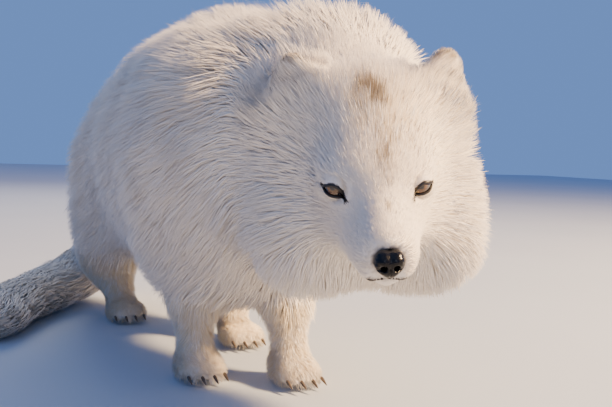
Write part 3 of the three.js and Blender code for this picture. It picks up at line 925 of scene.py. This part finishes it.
def spaced(size):
    """The scale of a pattern whose parts are that many millimetres apart."""
    return 1 / (size * MM)


def finish_of(name, **plain):
    """A new material, its node tree and its Principled shader, with the values that are plain all over."""
    material = bpy.data.materials.new(name)
    material.use_nodes = True
    shader = material.node_tree.nodes["Principled BSDF"]
    for socket, value in plain.items():
        shader.inputs[socket.replace("_", " ")].default_value = value
    return material, material.node_tree, shader


def worn(mesh, name, material):
    """A finished piece that rides on the fox."""
    mesh.name = name
    mesh.materials.clear()
    mesh.materials.append(material)
    piece = shown(mesh, name)
    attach(piece, "root")
    return piece

# %% Finishes that share a way of making


def layered(tree, base, *layers):
    """A colour with others laid over it in turn, each by its own share."""
    for share, code in layers:
        over = {"Factor": share, "A": base, "B": colour(code)}
        base = add(tree, "ShaderNodeMix", "Result", over, data_type="RGBA")
    return base


def mottled(name, first, second, size, detail, **plain):
    """A material in two close colours, in a mottle whose parts are size mm apart."""
    material, tree, shader = finish_of(name, **plain)
    where = add(tree, "ShaderNodeTexCoord", "Object")
    noise = add(tree, "ShaderNodeTexNoise", "Fac", {"Vector": where, "Scale": spaced(size), "Detail": detail})
    tree.links.new(layered(tree, colour(first), (noise, second)), shader.inputs["Base Color"])
    return material

# %% [markdown]
# ## Winter fur
#
# Arctic fox fur is white hair with air in it over dense pale underwool. It is matt and lets light through,
# so it looks bright even in its own shade. That softness is in the tufts' normals, which are turned towards
# those of the skin below, so that each tuft is lit as part of the coat. The markings come in as shares, and
# the tone of each tuft decides whether it shows them, so tan hairs stand singly among white ones.

# %% Colours of the coat
MARKINGS = (("#e2cfa8", "cream", 0.8), ("#7d766d", "grey", 0.85), ("#8b7a5e", "tan", 0.9))


def marked(tree, base, code, mark, strength):
    """A colour with one marking over it, in the tufts whose tone picks it up."""
    tone = add(tree, "ShaderNodeAttribute", "Fac", attribute_name="tone")
    share = add(tree, "ShaderNodeAttribute", "Fac", attribute_name=mark)
    picked = add(tree, "ShaderNodeMath", "Value", {0: tone, 1: share}, operation="ADD")
    shows = add(tree, "ShaderNodeMapRange", "Result", {"Value": picked, "From Min": 0.62, "From Max": 1.15})
    seen = add(tree, "ShaderNodeMapRange", "Result", {"Value": share, "From Max": 0.25})
    both = add(tree, "ShaderNodeMath", "Value", {0: shows, 1: seen}, operation="MULTIPLY")
    factor = add(tree, "ShaderNodeMath", "Value", {0: both, 1: strength}, operation="MULTIPLY")
    return layered(tree, base, (factor, code))


def coat_colour(tree):
    """White winter fur with its markings."""
    where = add(tree, "ShaderNodeTexCoord", "Object")
    broad = add(tree, "ShaderNodeTexNoise", "Fac", {"Vector": where, "Scale": spaced(62.5), "Detail": 3})
    tone = add(tree, "ShaderNodeAttribute", "Fac", attribute_name="tone")
    shade = add(tree, "ShaderNodeMapRange", "Result", {"Value": tone, "To Max": 0.34})
    base = layered(tree, colour("#efe9e0"), (broad, "#f5ebda"), (shade, "#d6cbbb"))
    for marking in MARKINGS:
        base = marked(tree, base, *marking)
    return base

# %% Winter fur, matt white hair that lets light through
# Grown hair, never polished: dull, with no highlight of its own.
fur, tree, shader = finish_of("winter_fur", Roughness=0.65, IOR=1.4)
# Each tuft is painted duller and greyer towards its root: painted shade for the depth of the coat, where
# little light reaches.
along = add(tree, "ShaderNodeAttribute", "Fac", attribute_name="along")
root_shade_fade = {"Value": along, "From Max": 0.5, "To Min": 0.18, "To Max": 0.0}
painted_root_shade = add(tree, "ShaderNodeMapRange", "Result", root_shade_fade)
base = layered(tree, coat_colour(tree), (painted_root_shade, "#b8ab9a"))  # painted shade at the roots, deep in the coat where little light reaches
tree.links.new(base, shader.inputs["Base Color"])
for mesh in coat:
    worn(mesh, mesh.name, fur)

# %% Skin under the fur, with black lids and lips
# Soft hide closed by underwool, which is its bump. Real wool is far finer, but would not show at all. The
# hide is bare and black round eyes, nose and mouth.
hide, tree, shader = finish_of("furred_hide", Roughness=0.8)
black_here = add(tree, "ShaderNodeAttribute", "Fac", attribute_name="black")
tree.links.new(layered(tree, coat_colour(tree), (black_here, "#110e0d")), shader.inputs["Base Color"])
where = add(tree, "ShaderNodeTexCoord", "Object")
hairs = add(tree, "ShaderNodeTexNoise", "Fac", {"Vector": where, "Scale": spaced(1.1111), "Detail": 3})
bump = add(tree, "ShaderNodeBump", "Normal", {"Height": hairs, "Strength": 0.5, "Distance": 0.4 * MM})
tree.links.new(bump, shader.inputs["Normal"])
black = np.maximum(smooth(0.35, -0.15, lid_gap), smooth(1.2 * MM, 0.5 * MM, from_nose))
black = np.maximum(black, smooth(1.3, 0.6, lip_gap))
for field, share in {"black": black, "tone": np.full_like(black, 0.5), **marks}.items():
    carry(skin_mesh, field, share)
skin_mesh.shade_smooth()
skin = worn(skin_mesh, "skin", hide)
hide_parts(*FLESH)
print(len(skin_mesh.polygons), "faces in the skin")

# %% [markdown]
# ## Eyes
#
# The eyeball is a globe with a slightly bulging clear front. A fox's iris is amber-brown with paler spokes
# and a dark edge, and the pupil is small in daylight. What shows beside the iris is dark brown.

# %% Eyeballs
GAZE_UP, GAZE_ASIDE = 12, 9  # degrees the eyes look up, because the head is low, and to the fox's right


def gaze(side):
    """The frame of an eyeball, whose -Y looks out through the pupil."""
    return EYES[side] @ turned(-GAZE_ASIDE, "Z") @ turned(-GAZE_UP, "X")


def eyeball(side):
    """A globe with its pole at the pupil, and the cornea's slight bulge."""
    shape = bmesh.new()
    bmesh.ops.create_uvsphere(shape, u_segments=48, v_segments=32, radius=EYE_RADIUS)
    for vertex in shape.verts:
        angle = vertex.co.angle(Vector((0, 0, 1)))
        vertex.co *= 1 + 0.045 * float(smooth(0.85, 0.2, angle))
    bmesh.ops.transform(shape, matrix=gaze(side) @ turned(90, "X"), verts=shape.verts)
    mesh = meshed(shape, "eyeball")
    mesh.shade_smooth()
    return mesh

# %% The wet eye, amber-brown iris under a clear glossy front


def eye_finish(side):
    look = {"Roughness": 0.06, "IOR": 1.38, "Coat Weight": 1.0, "Coat Roughness": 0.02}
    material, tree, shader = finish_of("wet_eye_" + side, **look)
    where = add(tree, "ShaderNodeTexCoord", "Object")
    eye = gaze(side)
    turn = {"Vector": where, "Location": eye.translation, "Rotation": eye.to_euler()}
    at_eye = add(tree, "ShaderNodeMapping", "Vector", turn, vector_type="TEXTURE")
    flat = add(tree, "ShaderNodeVectorMath", "Vector", {0: at_eye, 1: (1, 0, 1)}, operation="MULTIPLY")
    radius = add(tree, "ShaderNodeVectorMath", "Value", {0: flat}, operation="LENGTH")
    spokes = add(tree, "ShaderNodeVectorMath", "Vector", {0: flat}, operation="NORMALIZE")
    fibres = add(tree, "ShaderNodeTexNoise", "Fac", {"Vector": spokes, "Scale": 9, "Detail": 4})
    height_in_eye = add(tree, "ShaderNodeSeparateXYZ", "Z", {"Vector": at_eye})
    iris = colour("#3d2713")
    for code, value, low, high in (
        ("#6f4a22", fibres, 0.35, 0.65),  # paler spokes
        ("#170d07", radius, 3.4 * MM, 5.0 * MM),  # the iris's dark edge
        ("#1c130e", height_in_eye, -1.5 * MM, 2.5 * MM),  # shade under the upper lid
        ("#05060a", radius, 2.0 * MM, 1.5 * MM),  # the pupil
    ):
        share = add(tree, "ShaderNodeMapRange", "Result", {"Value": value, "From Min": low, "From Max": high})
        iris = layered(tree, iris, (share, code))
    tree.links.new(iris, shader.inputs["Base Color"])
    return material


for side in SIDES:
    ball = worn(eyeball(side), "eyeball_" + side, eye_finish(side))
    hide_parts("eye_" + side)

# %% [markdown]
# ## Lid rims, nose, lips and claws
#
# The rims of a fox's lids are bare black skin, and that dark outline gives the face its look. The nose is
# moist black skin, pebbled like fine leather. The claws are dark horn.

# %% Bare black skin of the lids and lips
# Thin hairless skin, a little oily, so it has a soft highlight.
bare_skin = mottled("bare_black_skin", "#0b0908", "#1d1613", 1.42857, 3, Roughness=0.38)
skin_tree = tree_of(skin_mesh)


def laid(points, direction, lift):
    """Points moved along a direction until they lie a little above the skin."""
    placed_points = []
    for point in points:
        hit = skin_tree.ray_cast(point - direction * 0.03, direction, 0.08)[0]
        placed_points.append((hit or point) - direction * lift)
    return placed_points


def soft_edge(points, radii):
    """A round edge along points, made by a curve with a bevel and turned into a mesh."""
    curve = bpy.data.curves.new("soft_edge", "CURVE")
    curve.dimensions = "3D"
    curve.bevel_depth = 1.0
    curve.bevel_resolution = 3
    curve.use_fill_caps = True
    spline = curve.splines.new("POLY")
    spline.points.add(len(points) - 1)
    for knot, point, radius in zip(spline.points, points, radii):
        knot.co = (*point, 1)
        knot.radius = radius
    mesh = settled(shown(curve, "soft_edge"))
    mesh.shade_smooth()
    return mesh

# %% Rims of the lids
RIM_STEPS = 26
RIM_BALL = EYE_RADIUS + 0.55 * MM  # the rims lie on a sphere just outside the eyeball


def on_lid(side, x, z):
    """A place on the lids, given along the slit and up in mm in the frame of the eye."""
    eye = EYES[side]
    depth = RIM_BALL ** 2 - (x * x + z * z) * MM * MM
    start = eye @ Vector((x * SIDES[side] * MM, -math.sqrt(max(depth, 0)), z * MM))
    if math.hypot(x, z) < ALMOND_OUTER:
        return start
    inward = eye.to_3x3() @ Vector((0, 1, 0))
    return laid([start], inward, 0.1 * MM)[0]


for side in SIDES:
    upper, lower, radii = [], [], []
    for t in np.linspace(0, 1, RIM_STEPS):
        top, bottom = lid_heights(t)
        x = ALMOND_INNER + t * (ALMOND_OUTER - ALMOND_INNER)
        bulge = math.sin(math.pi * t)
        upper.append(on_lid(side, x, top + 0.55 * bulge))
        lower.append(on_lid(side, x, bottom - 0.45 * bulge))
        radii.append((0.70 + 0.45 * bulge) * MM)
    start, end = np.array(CREASE)
    outer = [on_lid(side, *(start + (end - start) * t)) for t in (0.2, 0.5, 0.9)]
    edge = soft_edge(upper + outer, radii + [0.35 * MM, 0.28 * MM, 0.15 * MM])
    worn(edge, "upper_rim_" + side, bare_skin)
    edge = soft_edge(lower, [0.75 * size for size in radii])
    worn(edge, "lower_rim_" + side, bare_skin)

# %% Line of the mouth
for side, s in SIDES.items():
    path, sizes = [], []
    for t in np.linspace(0, 1, 24):
        drop = -3.8 * t
        angle = t * 1.35  # round the front of the muzzle, from below the nose to the corner of the mouth
        outside = Vector((s * 60 * math.sin(angle), -34 - 60 * math.cos(angle), LIP_HEIGHT + drop))
        from_side = HEAD @ (outside * MM)
        to_middle = (HEAD @ (Vector((0, -30 + 18 * t, LIP_HEIGHT + drop)) * MM) - from_side).normalized()
        hit = skin_tree.ray_cast(from_side, to_middle, 0.09)[0]
        if hit:
            path.append(hit - to_middle * 0.1 * MM)
            sizes.append((0.75 - 0.35 * t) * MM)
    worn(soft_edge(path, sizes), "lip_" + side, bare_skin)
print(len(path), "points along each lip")

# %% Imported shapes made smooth


def refined(node, levels):
    """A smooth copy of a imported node."""
    piece = shown(meshed(packed_faces((node,), 0), "refined"), "refined")
    modifier = piece.modifiers.new("smooth", "SUBSURF")
    modifier.levels = levels
    modifier.render_levels = levels
    made = settled(piece)
    made.shade_smooth()
    return made

# %% Nose of moist pebbled leather
# Thick hairless skin in pebbles about a millimetre wide, kept wet by the tongue, so it shines.
look = {"Roughness": 0.22, "Specular IOR Level": 0.24}
nose_leather, tree, shader = finish_of("moist_nose_leather", **look)
where = add(tree, "ShaderNodeTexCoord", "Object")
pebbles = add(tree, "ShaderNodeTexVoronoi", "Distance", {"Vector": where, "Scale": spaced(0.90909)})
# The nostrils and the slits beside them are painted darker still: painted shade in the holes.
inside = add(tree, "ShaderNodeAttribute", "Fac", attribute_name="inside")
base = layered(tree, colour("#050506"), (pebbles, "#111114"), (inside, "#010101"))
tree.links.new(base, shader.inputs["Base Color"])
bump = add(tree, "ShaderNodeBump", "Normal", {"Height": pebbles, "Strength": 0.45, "Distance": 0.3 * MM})
tree.links.new(bump, shader.inputs["Normal"])
NOSTRIL = (3.5, -22.6, 1.7)  # mm aside, up in the frame of the head, and radius
nose_mesh = refined("nose", 3)
n = local(HEAD, corners(nose_mesh))
front = smooth(-50, -56, n[:, 1])
aside, up = np.abs(n[:, 0]), n[:, 2]
hole = smooth(1.25, 0.55, np.hypot((aside - NOSTRIL[0]) / 1.0, (up - NOSTRIL[1]) / 1.15) / NOSTRIL[2])
slit = smooth(0.9, 0.2, np.abs(up - (NOSTRIL[1] - 1.0 - 0.30 * (aside - NOSTRIL[0]))))
slit = slit * smooth(3.6, 4.6, aside) * smooth(8.4, 7.0, aside)
groove = smooth(0.9, 0.15, aside) * smooth(-20.5, -23, up)
n[:, 1] += front * (3.4 * hole + 1.3 * slit * (1 - hole) + 0.9 * groove)
# painted shade where the nostrils and slits are pressed in
painted_nostril_shade = np.maximum(hole, 0.6 * slit) * front
move_corners(nose_mesh, in_row(HEAD, n))
carry(nose_mesh, "inside", painted_nostril_shade)
nose_mesh.shade_smooth()
nose = worn(nose_mesh, "nose_pad", nose_leather)
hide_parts("nose")

# %% Claws of dark horn
# Horn worn by the ground: smooth, but not polished, with paler patches.
horn = mottled("dark_horn", "#3a2f28", "#6d5f52", 2.5, 2, Roughness=0.4)
for leg in LEGS:
    for toe in (1, 2, 3, 4):
        node = leg.replace("_leg", f"_claw_{toe}")
        claw = worn(refined(node, 2), node + "_horn", horn)
        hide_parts(node)

# %% [markdown]
# ## Floor, light and camera
#
# White fur shows only by its shading, so one warm lamp low on the right stands for winter sun, and a blue
# sky all round fills its shadows. A small pale lamp by the camera gives the eyes and the nose a glint, and
# one behind lights the edge of the back.

# %% Floor
# Rolled matt paint, faintly uneven.
floor_paint = mottled("matt_floor_paint", "#aeb7c4", "#b7c0cc", 333.333, 2, Roughness=0.8)
shape = bmesh.new()
bmesh.ops.create_grid(shape, x_segments=1, y_segments=1, size=6)
floor = shown(meshed(shape, "floor"), "floor")
floor.data.materials.append(floor_paint)

# %% Sky and lamps
world = bpy.data.worlds.new("cold_sky")
world.use_nodes = True
background = world.node_tree.nodes["Background"]
background.inputs["Color"].default_value = colour("#7aa2ec")
background.inputs["Strength"].default_value = 0.78
bpy.context.scene.world = world


def lamp(name, position, target, size, power, code):
    """A soft square lamp that faces a target."""
    light = bpy.data.lights.new(name, "AREA")
    light.size = size
    light.energy = power
    light.color = colour(code)[:3]
    piece = shown(light, name)
    piece.location = position
    piece.rotation_mode = "QUATERNION"
    piece.rotation_quaternion = (Vector(target) - Vector(position)).to_track_quat("-Z", "Y")


target = (0.03, -0.05, 0.15)
lamp("low_sun", (1.95, -1.35, 1.75), target, 0.4, 410, "#ffd49e")
lamp("sky", (-1.2, -1.0, 2.2), target, 2.0, 4, "#cfe0ff")
lamp("window", (-0.33, -1.28, 0.52), target, 0.14, 0.7, "#eaf2ff")
lamp("back", (0.3, 2.2, 1.6), target, 1.0, 22, "#fff3e0")

# %% Camera
CAMERA_FROM_HEAD = Vector((-251.2, -414.1, 23.0)) * MM
AZIMUTH, DOWN, ROLL = -26.0, 3.9, 2.0
LENS = 45.9  # mm on a sensor 36 mm wide
camera_data = bpy.data.cameras.new("camera")
camera_data.lens = LENS
camera_data.sensor_width = 36
camera_data.clip_start = 0.01
camera = shown(camera_data, "camera")
facing = turned(AZIMUTH, "Z") @ turned(90 - DOWN, "X") @ turned(ROLL, "Z")
camera.matrix_world = Matrix.Translation(HEAD.translation + CAMERA_FROM_HEAD) @ facing
bpy.context.scene.camera = camera
